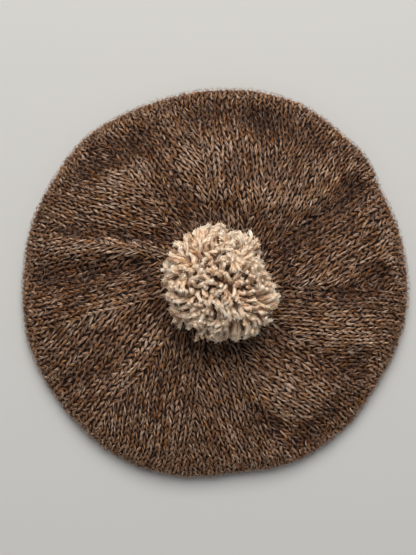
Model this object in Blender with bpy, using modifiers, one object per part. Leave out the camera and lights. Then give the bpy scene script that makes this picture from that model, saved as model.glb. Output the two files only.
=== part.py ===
"""Knitted tam o shanter, lying on a flat surface as it rests by itself.

A wide round crown of thick stocking stitch is folded over at its rim and runs back underneath
to a ribbed headband, which stands on the surface. A yarn pompom is tied through the middle.
Metres, +Z up. The origin is on the surface, in the middle of the crown's outline.
"""

import math
import random

import bmesh
import bpy
from mathutils import Quaternion, Vector

# Sizes of the knitted crown
CROWN_RADIUS = 0.140
CROWN_HEIGHT = 0.036
CROWN_WALL = 0.0035
EYE_RADIUS = 0.0035
CROWN_STEPS = 72

# Sizes of the headband
BAND_RADIUS = 0.080
BAND_HEIGHT = 0.020
BAND_WALL = 0.0046
RIB_COUNT = 23
RIB_DEPTH = 0.0011
STEPS_PER_RIB = 6
HEM_ROUNDING = 0.0012

# Sizes of the pompom and of the yarn that ties it on
POMPOM_RADIUS = 0.0345
POMPOM_RISE = 0.0275
POMPOM_LEAN_RIGHT = 0.0010
POMPOM_LEAN_BACK = 0.0028
POMPOM_SQUASH_RATIO = 0.93
LOCK_LENGTH = 0.0075
LOCK_TAPER = 0.76
LOCK_LEAN = 0.24
LOCK_TIP = 0.0009
TIE_RADIUS = 0.0030
SOCKET_DEPTH = 0.012
KNOT_RADIUS = 0.0055
KNOT_DEPTH = 0.0035
TURNED_STEPS = 16

# Space left between pieces that touch
GAP = 0.0003

# The knit's line from the middle of the top, round the rim and back to the headband.
# Reach is a share of the crown's radius, and rise is a share of its height.
# Flow says how far a point follows the folds, and spread how far it follows the outline. The
# top and the underside meet at the rim, halfway before the first row that is below the seam.
CROWN_RINGS = (
    {"reach": 0.070, "rise": 0.915, "flow": 0.00, "spread": 0.00, "below_seam": False},
    {"reach": 0.200, "rise": 0.915, "flow": 0.00, "spread": 0.00, "below_seam": False},
    {"reach": 0.270, "rise": 0.960, "flow": 0.45, "spread": 0.05, "below_seam": False},
    {"reach": 0.380, "rise": 0.990, "flow": 0.85, "spread": 0.15, "below_seam": False},
    {"reach": 0.490, "rise": 1.000, "flow": 1.00, "spread": 0.30, "below_seam": False},
    {"reach": 0.600, "rise": 0.965, "flow": 1.00, "spread": 0.45, "below_seam": False},
    {"reach": 0.700, "rise": 0.885, "flow": 1.00, "spread": 0.65, "below_seam": False},
    {"reach": 0.790, "rise": 0.770, "flow": 1.00, "spread": 0.80, "below_seam": False},
    {"reach": 0.870, "rise": 0.635, "flow": 0.95, "spread": 0.95, "below_seam": False},
    {"reach": 0.932, "rise": 0.495, "flow": 0.60, "spread": 1.00, "below_seam": False},
    {"reach": 0.975, "rise": 0.355, "flow": 0.25, "spread": 1.00, "below_seam": False},
    {"reach": 0.997, "rise": 0.215, "flow": 0.00, "spread": 1.00, "below_seam": False},
    {"reach": 0.986, "rise": 0.095, "flow": 0.00, "spread": 1.00, "below_seam": True},
    {"reach": 0.950, "rise": 0.018, "flow": 0.00, "spread": 1.00, "below_seam": True},
    {"reach": 0.900, "rise": 0.000, "flow": 0.00, "spread": 0.90, "below_seam": True},
    {"reach": 0.815, "rise": 0.000, "flow": 0.00, "spread": 0.70, "below_seam": True},
    {"reach": 0.750, "rise": 0.130, "flow": 0.00, "spread": 0.45, "below_seam": True},
    {"reach": 0.680, "rise": 0.385, "flow": 0.00, "spread": 0.20, "below_seam": True},
)

# Corners of the outline seen from above: degrees from +X, half width in degrees, and reach
# beyond the mean as a share of the crown's radius.
OUTLINE_CORNERS = (
    {"azimuth": 40, "half_width": 5, "reach": 0.026},
    {"azimuth": 66, "half_width": 14, "reach": 0.030},
    {"azimuth": 28, "half_width": 8, "reach": -0.014},
    {"azimuth": 10, "half_width": 8, "reach": -0.008},
    {"azimuth": 111, "half_width": 10, "reach": -0.010},
    {"azimuth": 131, "half_width": 9, "reach": 0.008},
    {"azimuth": 150, "half_width": 9, "reach": -0.008},
    {"azimuth": 176, "half_width": 10, "reach": -0.012},
    {"azimuth": 205, "half_width": 16, "reach": 0.008},
    {"azimuth": 243, "half_width": 15, "reach": 0.022},
    {"azimuth": 276, "half_width": 9, "reach": -0.018},
    {"azimuth": 298, "half_width": 8, "reach": 0.006},
    {"azimuth": 330, "half_width": 9, "reach": -0.014},
)

# Dents (depth above zero) and raised folds (below zero) of the top. Azimuth is at the outer
# end and turn leads to the inner end, both in degrees. Inner, outer and half width are shares
# of the crown's radius, and depth is a share of its height.
TOP_FOLDS = (
    {"azimuth": 33, "turn": -10, "inner": 0.44, "outer": 0.88, "half_width": 0.075, "depth": 0.110},
    {"azimuth": 3, "turn": -5, "inner": 0.60, "outer": 0.86, "half_width": 0.060, "depth": 0.095},
    {"azimuth": 331, "turn": 3, "inner": 0.66, "outer": 0.90, "half_width": 0.065, "depth": 0.090},
    {"azimuth": 293, "turn": -3, "inner": 0.60, "outer": 0.84, "half_width": 0.055, "depth": 0.070},
    {"azimuth": 220, "turn": 18, "inner": 0.42, "outer": 0.86, "half_width": 0.060, "depth": 0.075},
    {"azimuth": 177, "turn": -6, "inner": 0.50, "outer": 0.84, "half_width": 0.050, "depth": 0.100},
    {"azimuth": 157, "turn": -24, "inner": 0.38, "outer": 0.82, "half_width": 0.055, "depth": 0.085},
    {"azimuth": 113, "turn": -13, "inner": 0.38, "outer": 0.86, "half_width": 0.060, "depth": 0.110},
    {"azimuth": 163, "turn": -6, "inner": 0.36, "outer": 0.86, "half_width": 0.045, "depth": -0.085},
    {"azimuth": 232, "turn": 3, "inner": 0.40, "outer": 0.66, "half_width": 0.050, "depth": -0.060},
    {"azimuth": 12, "turn": 0, "inner": 0.78, "outer": 0.97, "half_width": 0.090, "depth": -0.060},
)

# Hollows that run along inside the rim, where the dome comes down to the rolled edge
RIM_TROUGHS = (
    {"azimuth": 76, "half_width": 26, "reach": 0.865, "half_depth": 0.060, "depth": 0.085},
    {"azimuth": 126, "half_width": 13, "reach": 0.845, "half_depth": 0.060, "depth": 0.080},
    {"azimuth": 312, "half_width": 22, "reach": 0.880, "half_depth": 0.060, "depth": 0.050},
)

# Bulges (reach above zero) and flats of the pompom, each as a share of its radius
POMPOM_BULGES = (
    {"azimuth": 315, "elevation": 5, "half_width": 24, "reach": 0.130},
    {"azimuth": 22, "elevation": 10, "half_width": 24, "reach": -0.110},
    {"azimuth": 86, "elevation": 0, "half_width": 18, "reach": 0.070},
    {"azimuth": 150, "elevation": 10, "half_width": 26, "reach": 0.050},
    {"azimuth": 199, "elevation": 0, "half_width": 12, "reach": -0.070},
    {"azimuth": 240, "elevation": 0, "half_width": 10, "reach": -0.090},
    {"azimuth": 268, "elevation": 0, "half_width": 16, "reach": 0.080},
)

BAND_INSIDE = BAND_RADIUS - BAND_WALL
LIP_HEIGHT = BAND_HEIGHT + GAP
LIP_MARGIN = 0.003
SEAT_HEIGHT = CROWN_HEIGHT * CROWN_RINGS[0]["rise"]
WOOL_ROUGHNESS = 0.95


def clear_scene():
    """Removes every object of the scene."""
    for obj in list(bpy.data.objects):
        bpy.data.objects.remove(obj, do_unlink=True)


def bell(distance):
    """Smooth bump: 1 at 0 and 0 from 1 on."""
    if abs(distance) >= 1:
        return 0.0
    return (1 - distance * distance) ** 2


def turn_between(first, second):
    """Signed angle from the second to the first, in degrees."""
    return (first - second + 180) % 360 - 180


def outline_reach(azimuth):
    """How far the rim stands beyond the crown's mean radius at an azimuth, in metres."""
    share = sum(
        row["reach"] * bell(turn_between(azimuth, row["azimuth"]) / (2 * row["half_width"]))
        for row in OUTLINE_CORNERS
    )
    return share * CROWN_RADIUS


def outline_middle():
    """Middle of the outline's extents, which the rim is set back by to centre it."""
    rim = CROWN_RADIUS * max(row["reach"] for row in CROWN_RINGS)
    points = []
    for step in range(CROWN_STEPS):
        azimuth = 360 * step / CROWN_STEPS
        radius = rim + outline_reach(azimuth)
        angle = math.radians(azimuth)
        points.append(Vector((radius * math.cos(angle), radius * math.sin(angle), 0)))
    across = [point.x for point in points]
    along = [point.y for point in points]
    return Vector((max(across) + min(across), max(along) + min(along), 0)) / 2


def fold_depth(azimuth, reach):
    """How far the top lies below its smooth line at an azimuth and a share of the radius."""
    depth = 0.0
    for row in TOP_FOLDS:
        middle = (row["inner"] + row["outer"]) / 2
        half_length = (row["outer"] - row["inner"]) / 2
        inward = (row["outer"] - reach) / (2 * half_length)
        line = row["azimuth"] + row["turn"] * min(max(inward, 0), 1)
        aside = math.radians(turn_between(azimuth, line)) * reach
        along = (reach - middle) / (1.35 * half_length)
        depth += row["depth"] * bell(aside / (1.6 * row["half_width"])) * bell(along)
    for row in RIM_TROUGHS:
        around = turn_between(azimuth, row["azimuth"]) / (1.4 * row["half_width"])
        across = (reach - row["reach"]) / (1.6 * row["half_depth"])
        depth += row["depth"] * bell(around) * bell(across)
    return depth * CROWN_HEIGHT


def knit_point(ring, azimuth, middle):
    """Place of the knit's outer face on one ring at an azimuth in degrees."""
    angle = math.radians(azimuth)
    radius = ring["reach"] * CROWN_RADIUS + ring["spread"] * outline_reach(azimuth)
    height = ring["rise"] * CROWN_HEIGHT - ring["flow"] * fold_depth(azimuth, ring["reach"])
    set_back = middle * ring["spread"]
    return Vector(
        (radius * math.cos(angle) - set_back.x, radius * math.sin(angle) - set_back.y, height)
    )


def eye_ring(angle):
    """Point of the drawn-up eye in the middle of the top."""
    return Vector((EYE_RADIUS * math.cos(angle), EYE_RADIUS * math.sin(angle), SEAT_HEIGHT))


def lip_ring(radius, angle):
    """Point of the lip that lies on the headband's top edge."""
    return Vector((radius * math.cos(angle), radius * math.sin(angle), LIP_HEIGHT))


def wool(name, colour):
    """Material of one wool colour."""
    material = bpy.data.materials.new(name)
    material.use_nodes = True
    shader = material.node_tree.nodes["Principled BSDF"]
    shader.inputs["Base Color"].default_value = (*colour, 1)
    shader.inputs["Roughness"].default_value = WOOL_ROUGHNESS
    shader.inputs["Metallic"].default_value = 0.0
    return material


def object_from(mesh_maker, name, material, collection):
    """Object of a bmesh, which is freed, with its material, in a collection."""
    mesh = bpy.data.meshes.new(name)
    mesh_maker.to_mesh(mesh)
    mesh_maker.free()
    mesh.materials.append(material)
    mesh.shade_smooth()
    obj = bpy.data.objects.new(name, mesh)
    collection.objects.link(obj)
    return obj


def grid_of_rings(rings, closed=False):
    """Quad surface through rings of points, each ring closed on itself."""
    maker = bmesh.new()
    rows = [[maker.verts.new(point) for point in ring] for ring in rings]
    pairs = list(zip(rows, rows[1:]))
    if closed:
        pairs.append((rows[-1], rows[0]))
    for upper, lower in pairs:
        for index, corner in enumerate(upper):
            after = (index + 1) % len(upper)
            maker.faces.new((corner, lower[index], lower[after], upper[after]))
    return maker


def seam_rings(upper, lower):
    """Both edges of the seam halfway between two rings, a gap apart."""
    above = []
    below = []
    for start, end in zip(upper, lower):
        middle = (start + end) / 2
        half_gap = (end - start).normalized() * (GAP / 2)
        above.append(middle - half_gap)
        below.append(middle + half_gap)
    return above, below


def knit_wall(name, rings, material, collection):
    """Wall of knitting of even thickness, inside an open surface through rings of points."""
    knit = object_from(grid_of_rings(rings), name, material, collection)
    wall = knit.modifiers.new("wall", "SOLIDIFY")
    wall.thickness = CROWN_WALL
    wall.offset = -1
    wall.use_even_offset = True
    return knit


def build_crown(material, collection):
    """Crown: the domed top out to the rim, and the underside from there to the headband."""
    middle = outline_middle()
    angles = [2 * math.pi * step / CROWN_STEPS for step in range(CROWN_STEPS)]
    rings = [
        [knit_point(ring, math.degrees(angle), middle) for angle in angles]
        for ring in CROWN_RINGS
    ]
    below = next(index for index, ring in enumerate(CROWN_RINGS) if ring["below_seam"])
    seam_above, seam_below = seam_rings(rings[below - 1], rings[below])
    eye = [eye_ring(angle) for angle in angles]
    top = [eye] + rings[:below] + [seam_above]
    under = [seam_below] + rings[below:]
    for radius in (BAND_RADIUS + LIP_MARGIN, BAND_RADIUS - BAND_WALL / 2, BAND_INSIDE):
        under.append([lip_ring(radius, angle) for angle in angles])
    knit_wall("crown_top", top, material, collection)
    knit_wall("crown_underside", under, material, collection)


def rib_height(step):
    """How far the ribbed outer face stands out at one step round the headband, from 0 to 1."""
    phase = 2 * math.pi * step / STEPS_PER_RIB
    return 0.5 + 0.5 * math.cos(phase)


def band_ring(inset, height, ribbed):
    """One ring of the headband's wall, set in from its ribbed outer face."""
    steps = RIB_COUNT * STEPS_PER_RIB
    points = []
    for step in range(steps):
        angle = 2 * math.pi * step / steps
        radius = BAND_RADIUS - inset
        if ribbed:
            radius -= RIB_DEPTH * (1 - rib_height(step))
        points.append(Vector((radius * math.cos(angle), radius * math.sin(angle), height)))
    return points


def build_headband(material, collection):
    """Headband: a short standing tube with ribs on its outer face and a rounded hem."""
    rings = [
        band_ring(0, BAND_HEIGHT, True),
        band_ring(0, HEM_ROUNDING, True),
        band_ring(HEM_ROUNDING, 0, True),
        band_ring(BAND_WALL - HEM_ROUNDING / 2, 0, False),
        band_ring(BAND_WALL, HEM_ROUNDING / 2, False),
        band_ring(BAND_WALL, BAND_HEIGHT, False),
    ]
    return object_from(grid_of_rings(rings, closed=True), "headband", material, collection)


def dual_of(maker):
    """Mesh of the cells round the vertices of a ball, made with the Dual Mesh node."""
    ball = bpy.data.meshes.new("pompom_cells")
    maker.to_mesh(ball)
    maker.free()
    holder = bpy.data.objects.new("pompom_cells", ball)
    bpy.context.scene.collection.objects.link(holder)
    tree = bpy.data.node_groups.new("pompom_cells", "GeometryNodeTree")
    tree.interface.new_socket(name="Geometry", in_out="INPUT", socket_type="NodeSocketGeometry")
    tree.interface.new_socket(name="Geometry", in_out="OUTPUT", socket_type="NodeSocketGeometry")
    source = tree.nodes.new("NodeGroupInput")
    dual = tree.nodes.new("GeometryNodeDualMesh")
    result = tree.nodes.new("NodeGroupOutput")
    tree.links.new(source.outputs[0], dual.inputs[0])
    tree.links.new(dual.outputs[0], result.inputs[0])
    holder.modifiers.new("cells", "NODES").node_group = tree
    bpy.context.view_layer.update()
    evaluated = holder.evaluated_get(bpy.context.evaluated_depsgraph_get())
    cells = bmesh.new()
    cells.from_mesh(evaluated.to_mesh())
    bpy.data.objects.remove(holder, do_unlink=True)
    return cells


def bulge_share(direction):
    """How far the pompom stands beyond its radius in a direction, as a share."""
    share = 0.0
    for row in POMPOM_BULGES:
        azimuth = math.radians(row["azimuth"])
        elevation = math.radians(row["elevation"])
        flat = math.cos(elevation)
        axis = Vector((flat * math.cos(azimuth), flat * math.sin(azimuth), math.sin(elevation)))
        away = math.degrees(direction.angle(axis))
        share += row["reach"] * bell(away / (2 * row["half_width"]))
    return share


def place_pompom_point(point, centre):
    """A point of the round ball moved to the pompom's own uneven, squashed shape."""
    shaped = point * (1 + bulge_share(point.normalized()))
    shaped.z *= POMPOM_SQUASH_RATIO
    return shaped + centre


def build_pompom(material, collection):
    """Pompom: a ball of tapered yarn locks fused at their roots, flat where it sits."""
    chance = random.Random(7)
    maker = bmesh.new()
    bmesh.ops.create_icosphere(maker, subdivisions=3, radius=POMPOM_RADIUS - LOCK_LENGTH / 2)
    cells = dual_of(maker)
    grown = bmesh.ops.extrude_discrete_faces(cells, faces=cells.faces[:])
    for face in grown["faces"]:
        middle = face.calc_center_median()
        along = middle.normalized()
        aside = along.orthogonal()
        aside.rotate(Quaternion(along, chance.uniform(0, 2 * math.pi)))
        reach = LOCK_LENGTH * chance.uniform(0.75, 1.2)
        shift = along * reach + aside * LOCK_LENGTH * LOCK_LEAN * chance.uniform(0.2, 1)
        for corner in face.verts:
            corner.co = middle + (corner.co - middle) * LOCK_TAPER + shift
    bmesh.ops.poke(cells, faces=grown["faces"], offset=LOCK_TIP)
    height = SEAT_HEIGHT + GAP + POMPOM_RISE
    centre = Vector((POMPOM_LEAN_RIGHT, POMPOM_LEAN_BACK, height))
    for corner in cells.verts:
        corner.co = place_pompom_point(corner.co, centre)
    seat = Vector((0, 0, SEAT_HEIGHT + GAP))
    cut = bmesh.ops.bisect_plane(
        cells,
        geom=cells.verts[:] + cells.edges[:] + cells.faces[:],
        plane_co=seat,
        plane_no=(0, 0, -1),
        clear_outer=True,
    )
    rim = [part for part in cut["geom_cut"] if isinstance(part, bmesh.types.BMEdge)]
    bmesh.ops.contextual_create(cells, geom=rim)
    bmesh.ops.triangulate(cells, faces=cells.faces[:])
    bmesh.ops.recalc_face_normals(cells, faces=cells.faces[:])
    return object_from(cells, "pompom", material, collection)


def turned(name, profile, material, collection):
    """Solid turned about Z from points of radius and height, going down from axis to axis."""
    maker = bmesh.new()
    corners = [maker.verts.new((radius, 0, height)) for radius, height in profile]
    for start, end in zip(corners, corners[1:]):
        maker.edges.new((start, end))
    solid = object_from(maker, name, material, collection)
    turn = solid.modifiers.new("turn", "SCREW")
    turn.steps = TURNED_STEPS
    turn.render_steps = TURNED_STEPS
    turn.use_merge_vertices = True
    turn.merge_threshold = 0.0001
    return solid


def build_tie(material, collection):
    """Tie: the tail of yarn down through the eye, with its knot inside the crown."""
    top = SEAT_HEIGHT + GAP + SOCKET_DEPTH - GAP
    knot_top = SEAT_HEIGHT - CROWN_WALL - GAP
    knot_low = knot_top - KNOT_DEPTH
    profile = (
        (0, top),
        (TIE_RADIUS, top),
        (TIE_RADIUS, knot_top),
        (KNOT_RADIUS * 0.85, knot_top),
        (KNOT_RADIUS, knot_top - KNOT_DEPTH * 0.45),
        (KNOT_RADIUS * 0.6, knot_low),
        (0, knot_low),
    )
    return turned("pompom_tie", profile, material, collection)


def cut_socket(pompom, material, cutters):
    """Cuts the socket in the pompom's seat that the tie passes up into."""
    low = SEAT_HEIGHT - GAP
    top = SEAT_HEIGHT + GAP + SOCKET_DEPTH
    radius = TIE_RADIUS + GAP
    profile = ((0, top), (radius, top), (radius, low), (0, low))
    cutter = turned("socket_cutter", profile, material, cutters)
    cutter.hide_render = True
    cutter.display_type = "WIRE"
    cut = pompom.modifiers.new("socket", "BOOLEAN")
    cut.operation = "DIFFERENCE"
    cut.solver = "EXACT"
    cut.object = cutter


def main():
    """Builds the tam."""
    clear_scene()
    parts = bpy.data.collections.new("tam_o_shanter")
    cutters = bpy.data.collections.new("cutters")
    bpy.context.scene.collection.children.link(parts)
    bpy.context.scene.collection.children.link(cutters)
    brown = wool("brown_wool", (0.085, 0.050, 0.033))
    fawn = wool("fawn_wool", (0.44, 0.31, 0.21))
    build_crown(brown, parts)
    build_headband(brown, parts)
    pompom = build_pompom(fawn, parts)
    cut_socket(pompom, fawn, cutters)
    build_tie(fawn, parts)


main()
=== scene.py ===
"""Dressed scene of a hand-knitted tam o shanter, lying flat with its pompom up.

The crown is covered stitch by stitch in stocking stitch, in eleven sections that swirl to the
middle. The headband is ribbed in twos, and the pompom is made of cut strands of yarn.
"""

import logging
import math
from collections.abc import Callable, Iterator
from dataclasses import dataclass, field
from enum import Enum

import bpy
import numpy as np
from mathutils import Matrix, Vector
from mathutils.bvhtree import BVHTree


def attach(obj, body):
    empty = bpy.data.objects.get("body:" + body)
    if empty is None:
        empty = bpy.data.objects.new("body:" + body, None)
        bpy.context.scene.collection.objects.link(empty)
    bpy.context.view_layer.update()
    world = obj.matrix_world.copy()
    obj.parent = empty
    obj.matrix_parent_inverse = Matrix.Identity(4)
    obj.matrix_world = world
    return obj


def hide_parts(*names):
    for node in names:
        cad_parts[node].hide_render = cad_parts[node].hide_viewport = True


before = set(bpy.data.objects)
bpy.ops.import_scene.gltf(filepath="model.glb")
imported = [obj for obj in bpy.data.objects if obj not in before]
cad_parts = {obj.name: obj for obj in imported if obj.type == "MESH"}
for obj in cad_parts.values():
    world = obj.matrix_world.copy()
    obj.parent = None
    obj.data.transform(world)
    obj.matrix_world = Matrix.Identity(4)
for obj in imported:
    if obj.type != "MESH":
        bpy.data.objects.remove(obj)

LOG = logging.getLogger("tam")
BODY = "root"
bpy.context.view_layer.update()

MM = 0.001
WHOLE_TURN = 2 * math.pi
SLIVER = 0.001
GOLDEN_TURN = math.pi * (3 - math.sqrt(5))
WALE_WIDTH = 0.0059
ROW_HEIGHT = 0.0044
RIBS = 23
RIB_WALES = 4
FLOOR_GAP = 0.0001

Colour = tuple[float, float, float]
Socket = bpy.types.NodeSocket


class Lie(Enum):
    """Which way a copy of a shape faces."""

    PLAIN = 1
    MIRRORED = -1


class Follow(Enum):
    """What a wool's fibres run along: each strand's length, places, or stitches of a ring."""

    YARN = "yarn"
    PLACE = "place"
    RING = "ring"


class Face(Enum):
    """Side of the headband."""

    OUTSIDE = 1
    INSIDE = -1


def srgb(red: int, green: int, blue: int) -> Colour:
    """Linear colour of an 8-bit screen colour.

    Args:
        red: Red from 0 to 255.
        green: Green from 0 to 255.
        blue: Blue from 0 to 255.

    Returns:
        The colour as three linear values.
    """
    shares = [value / 255 for value in (red, green, blue)]
    return tuple(s / 12.92 if s <= 0.04045 else ((s + 0.055) / 1.055) ** 2.4 for s in shares)


def bell(distance: np.ndarray) -> np.ndarray:
    """Smooth bump: 1 at 0, and 0 from 1 on."""
    return np.where(np.abs(distance) < 1, (1 - np.minimum(np.abs(distance), 1) ** 2) ** 2, 0.0)


def unit(vectors: np.ndarray) -> np.ndarray:
    """Vectors of length 1 along the last axis."""
    length = np.linalg.norm(vectors, axis=-1, keepdims=True)
    return vectors / np.maximum(length, 1e-12)


def circle(turn: np.ndarray) -> np.ndarray:
    """Cosine and sine of angles, along a new last axis."""
    return np.stack([np.cos(turn), np.sin(turn)], axis=-1)


def started(primitive: Callable, name: str, **sizes: float) -> bpy.types.Object:
    """Adds a primitive, with nothing else selected.

    Args:
        primitive: Operator that adds it.
        name: Name of the new object.
        **sizes: The operator's own values.

    Returns:
        The object.
    """
    bpy.ops.object.select_all(action="DESELECT")
    primitive(**sizes)
    bpy.context.object.name = name
    return bpy.context.object


# Shapes that are modelled once and copied


@dataclass
class Shape:
    """A small closed shape as arrays, to be copied many times into one mesh.

    Along runs from 0 at one pole to 1 at the other, and around is the angle round the axis.
    """

    along: np.ndarray
    around: np.ndarray
    faces: list[list[int]]
    uvs: list[list[tuple[float, float]]]

    @classmethod
    def spindle(cls, segments: int, rings: int) -> "Shape":
        """Ball with its poles at the ends, which every strand, leg and fibre starts from.

        Args:
            segments: Sides round the axis.
            rings: Bands from pole to pole.

        Returns:
            The ball's vertices by place along and around, with its faces and UVs.
        """
        add = bpy.ops.mesh.primitive_uv_sphere_add
        ball = started(add, "spindle", segments=segments, ring_count=rings, radius=1)
        mesh = ball.data
        places = np.array([corner.co[:] for corner in mesh.vertices])
        layer = mesh.uv_layers.active.data
        faces = [list(face.vertices) for face in mesh.polygons]
        uvs = [[tuple(layer[index].uv) for index in face.loop_indices] for face in mesh.polygons]
        bpy.data.objects.remove(ball, do_unlink=True)
        bpy.data.meshes.remove(mesh)
        return cls((places[:, 2] + 1) / 2, np.arctan2(places[:, 1], places[:, 0]), faces, uvs)

    def body(self, reach: np.ndarray | float) -> np.ndarray:
        """Reach of each vertex from its line, which is 0 at the poles to close the ends."""
        return np.where((self.along < SLIVER) | (self.along > 1 - SLIVER), 0.0, reach)

    def copies(self, name: str, corners: np.ndarray, tints: np.ndarray) -> bpy.types.Object:
        """One mesh of many placed copies, each with its own tint and with faces outwards.

        Args:
            name: Name of the new object.
            corners: Vertices of each copy, as copies by vertices by 3.
            tints: Tint of each copy, from 0 to 1.

        Returns:
            The new object, at the origin.
        """
        count, per_copy = corners.shape[:2]
        numbers = np.arange(count)[:, None]
        sizes = np.array([len(face) for face in self.faces])
        ends = np.cumsum(sizes)
        plain = np.arange(ends[-1])
        turned = np.concatenate([plain[end - size : end][::-1] for end, size in zip(ends, sizes)])
        order = np.where(self._inside_out(corners)[:, None], turned, plain)
        loops = np.concatenate(self.faces)[order] + numbers * per_copy
        uvs = np.concatenate(self.uvs)[order]
        mesh = bpy.data.meshes.new(name)
        mesh.vertices.add(count * per_copy)
        mesh.vertices.foreach_set("co", corners.astype(np.float32).ravel())
        mesh.loops.add(loops.size)
        mesh.loops.foreach_set("vertex_index", loops.astype(np.int32).ravel())
        mesh.polygons.add(count * len(sizes))
        starts = ends - sizes + numbers * len(plain)
        mesh.polygons.foreach_set("loop_start", starts.astype(np.int32).ravel())
        mesh.uv_layers.new(name="yarn").data.foreach_set("uv", uvs.astype(np.float32).ravel())
        tint = mesh.attributes.new("tint", "FLOAT", "POINT")
        tint.data.foreach_set("value", np.repeat(tints, per_copy).astype(np.float32))
        mesh.update(calc_edges=True)
        mesh.validate()
        mesh.shade_smooth()
        obj = bpy.data.objects.new(name, mesh)
        bpy.context.scene.collection.objects.link(obj)
        return obj

    def _inside_out(self, corners: np.ndarray) -> np.ndarray:
        """Which copies have their faces pointing inwards.

        Args:
            corners: Vertices of each copy.

        Returns:
            One true or false value for each copy.
        """
        local = corners - corners.mean(axis=1, keepdims=True)
        volume = np.zeros(len(corners))
        for face in self.faces:
            for second, third in zip(face[1:], face[2:]):
                cross = np.cross(local[:, second], local[:, third])
                volume += np.einsum("ij,ij->i", local[:, face[0]], cross)
        return volume < 0


def bezier(controls: np.ndarray, along: np.ndarray) -> tuple[np.ndarray, np.ndarray]:
    """Points and directions along many cubic curves.

    Args:
        controls: Four control points of each curve, as curves by 4 by 3.
        along: Places along each curve, from 0 to 1, as curves by places.

    Returns:
        The points and the unit directions, each as curves by places by 3.
    """
    t = along[..., None]
    a, b, c, d = (controls[:, index, None, :] for index in range(4))
    points = (1 - t) ** 3 * a + 3 * (1 - t) ** 2 * t * b + 3 * (1 - t) * t**2 * c + t**3 * d
    slope = (1 - t) ** 2 * (b - a) + 2 * (1 - t) * t * (c - b) + t**2 * (d - c)
    return points, unit(slope)


def swept(
    shape: Shape,
    controls: np.ndarray,
    reach: np.ndarray,
    guide: np.ndarray,
    along: np.ndarray | None = None,
    offset: np.ndarray | None = None,
) -> np.ndarray:
    """Copies of a shape drawn out along cubic curves.

    Args:
        shape: The shape.
        controls: Four control points of each curve.
        reach: Distance of each vertex from its line, as curves by vertices.
        guide: A vector for each curve that its cross-section is turned to.
        along: Place of each vertex along its curve, if it isn't the shape's own.
        offset: Place of the line of each vertex across its curve, if it isn't the curve.

    Returns:
        Vertices of each copy, as curves by vertices by 3.
    """
    if along is None:
        along = np.broadcast_to(shape.along, (len(controls), len(shape.along)))
    points, heading = bezier(controls, along)
    turned = guide[:, None, :]
    across = unit(turned - np.sum(turned * heading, axis=-1, keepdims=True) * heading)
    aside = np.cross(heading, across)
    if offset is not None:
        points = points + offset[..., :1] * across + offset[..., 1:] * aside
    cosine = np.cos(shape.around)[None, :, None]
    sine = np.sin(shape.around)[None, :, None]
    return points + reach[..., None] * (cosine * across + sine * aside)


# Finishes


@dataclass(frozen=True)
class Noise:
    """How fine and how rough a noise is."""

    detail: float
    roughness: float = 0.5


class Graph:
    """A shader tree that nodes are added to in a few words."""

    def __init__(self, tree: bpy.types.NodeTree) -> None:
        """Keeps the tree."""
        self.tree = tree

    def add(self, kind: str, **settings: object) -> bpy.types.Node:
        """Adds a node.

        Args:
            kind: The node's type.
            **settings: Values of the node's own properties.

        Returns:
            The node.
        """
        node = self.tree.nodes.new(kind)
        for name, value in settings.items():
            setattr(node, name, value)
        return node

    def feed(self, value: object, target: Socket) -> None:
        """Gives an input its value.

        Args:
            value: A socket to be linked, or the value itself.
            target: The input.
        """
        if isinstance(value, Socket):
            self.tree.links.new(value, target)
        else:
            target.default_value = value

    def math(self, operation: str, first: object, second: object = 0.0) -> Socket:
        """Adds a Math node.

        Args:
            operation: The node's operation.
            first: First value, as a number or a socket.
            second: Second value, as a number or a socket.

        Returns:
            The result's socket.
        """
        node = self.add("ShaderNodeMath", operation=operation)
        self.feed(first, node.inputs[0])
        self.feed(second, node.inputs[1])
        return node.outputs[0]

    def plus(self, first: object, second: object) -> Socket:
        """Sum of two values."""
        return self.math("ADD", first, second)

    def times(self, first: object, second: object) -> Socket:
        """Product of two values."""
        return self.math("MULTIPLY", first, second)

    def centred(self, value: Socket) -> Socket:
        """A value from 0 to 1, moved to lie round 0."""
        return self.math("SUBTRACT", value, 0.5)

    def split(self, vector: Socket) -> tuple[Socket, ...]:
        """Takes a vector apart.

        Args:
            vector: The vector's socket.

        Returns:
            The sockets of its three parts.
        """
        node = self.add("ShaderNodeSeparateXYZ")
        self.feed(vector, node.inputs[0])
        return tuple(node.outputs)

    def vector(self, *parts: Socket) -> Socket:
        """Puts a vector together.

        Args:
            *parts: Two or three sockets.

        Returns:
            The vector's socket.
        """
        node = self.add("ShaderNodeCombineXYZ")
        for part, target in zip(parts, node.inputs):
            self.feed(part, target)
        return node.outputs[0]

    def noise(self, vector: Socket, scale: object, look: Noise, lot: object = None) -> Socket:
        """Adds a noise texture.

        Args:
            vector: Where it is read.
            scale: Its scale, as a number or a socket.
            look: Its detail and roughness.
            lot: What makes it another noise for each strand, if anything does.

        Returns:
            The noise's socket.
        """
        node = self.add("ShaderNodeTexNoise", noise_dimensions="3D" if lot is None else "4D")
        values = {"Vector": vector, "Scale": scale, "W": lot}
        values.update({"Detail": look.detail, "Roughness": look.roughness})
        for name, value in values.items():
            if value is not None:
                self.feed(value, node.inputs[name])
        return node.outputs["Fac"]

    def ramp(self, factor: Socket, stops: tuple[tuple[float, Colour], ...]) -> Socket:
        """Adds a colour ramp.

        Args:
            factor: Socket that drives it.
            stops: Place and linear colour of each stop.

        Returns:
            The colour's socket.
        """
        node = self.add("ShaderNodeValToRGB")
        node.color_ramp.interpolation = "EASE"
        while len(node.color_ramp.elements) < len(stops):
            node.color_ramp.elements.new(0.5)
        for element, (place, colour) in zip(node.color_ramp.elements, stops):
            element.position = place
            element.color = (*colour, 1)
        self.feed(factor, node.inputs[0])
        return node.outputs[0]


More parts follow.
